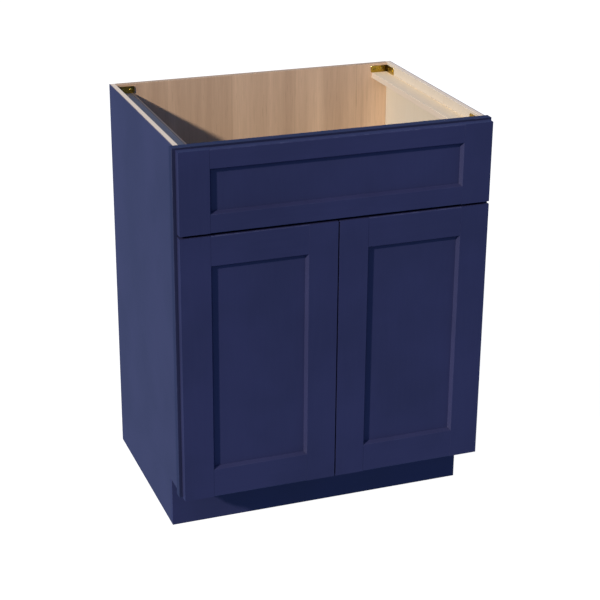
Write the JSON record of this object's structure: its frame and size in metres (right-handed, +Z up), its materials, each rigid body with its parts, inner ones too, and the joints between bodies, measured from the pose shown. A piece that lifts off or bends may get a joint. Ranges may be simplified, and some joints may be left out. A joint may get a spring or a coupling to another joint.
{
  "type": "bathroom vanity cabinet",
  "caption": "Freestanding bathroom vanity base with a face frame, framed doors on concealed hinges, a fixed false drawer front, a recessed toe space and an open top.",
  "frame": {"origin": "on the floor, under the middle of the bounding box: midway between the outer edges of the face frame, and midway between the doors' front faces and the back panel's rear face", "axes": "+X to the right of someone facing the doors, +Y from the doors towards the wall, +Z up"},
  "size_m": [0.686, 0.5354, 0.876],
  "materials": {
    "blue_paint": "dark slate blue satin paint on solid wood frames and panels",
    "birch_ply": "pale birch plywood, clear satin lacquer",
    "pine": "planed pine, unfinished",
    "yellow_zinc": "steel with yellow zinc plating",
    "nickelled_steel": "nickel-plated pressed steel",
    "bumper_rubber": "milky soft polyurethane"
  },
  "bodies": {
    "cabinet": {"back_panel": "birch_ply", "bottom_panel": "birch_ply", "false_front_bottom_rail": "blue_paint", "false_front_left_bottom_screw": "nickelled_steel", "false_front_left_bottom_spacer": "bumper_rubber", "false_front_left_stile": "blue_paint", "false_front_left_top_screw": "nickelled_steel", "false_front_left_top_spacer": "bumper_rubber", "false_front_panel": "blue_paint", "false_front_right_bottom_screw": "nickelled_steel", "false_front_right_bottom_spacer": "bumper_rubber", "false_front_right_stile": "blue_paint", "false_front_right_top_screw": "nickelled_steel", "false_front_right_top_spacer": "bumper_rubber", "false_front_top_rail": "blue_paint", "frame_bottom_rail": "blue_paint", "frame_mid_rail": "blue_paint", "frame_top_rail": "blue_paint", "left_frame_stile": "blue_paint", "left_front_bracket": "yellow_zinc", "left_ledge": "birch_ply", "left_lower_hinge_arm": "nickelled_steel", "left_rear_bracket": "yellow_zinc", "left_side_panel": "blue_paint", "left_upper_hinge_arm": "nickelled_steel", "rear_bottom_cleat": "pine", "right_frame_stile": "blue_paint", "right_front_bracket": "yellow_zinc", "right_ledge": "birch_ply", "right_lower_hinge_arm": "nickelled_steel", "right_rear_bracket": "yellow_zinc", "right_side_panel": "blue_paint", "right_upper_hinge_arm": "nickelled_steel", "toe_kick_board": "blue_paint"},
    "left_door": {"left_door_bottom_bumper": "bumper_rubber", "left_door_bottom_rail": "blue_paint", "left_door_hinge_stile": "blue_paint", "left_door_meeting_stile": "blue_paint", "left_door_panel": "blue_paint", "left_door_top_bumper": "bumper_rubber", "left_door_top_rail": "blue_paint", "left_lower_hinge_cup": "nickelled_steel", "left_upper_hinge_cup": "nickelled_steel"},
    "right_door": {"right_door_bottom_bumper": "bumper_rubber", "right_door_bottom_rail": "blue_paint", "right_door_hinge_stile": "blue_paint", "right_door_meeting_stile": "blue_paint", "right_door_panel": "blue_paint", "right_door_top_bumper": "bumper_rubber", "right_door_top_rail": "blue_paint", "right_lower_hinge_cup": "nickelled_steel", "right_upper_hinge_cup": "nickelled_steel"}
  },
  "joints": [
    {"name": "left_door_hinge", "type": "hinge", "parent": "cabinet", "child": "left_door", "pos_m": [-0.33, -0.25925, 0.403], "axis": [0, 0, -1], "range_deg": [0, 100]},
    {"name": "right_door_hinge", "type": "hinge", "parent": "cabinet", "child": "right_door", "pos_m": [0.33, -0.25925, 0.403], "axis": [0, 0, 1], "range_deg": [0, 100]}
  ]
}
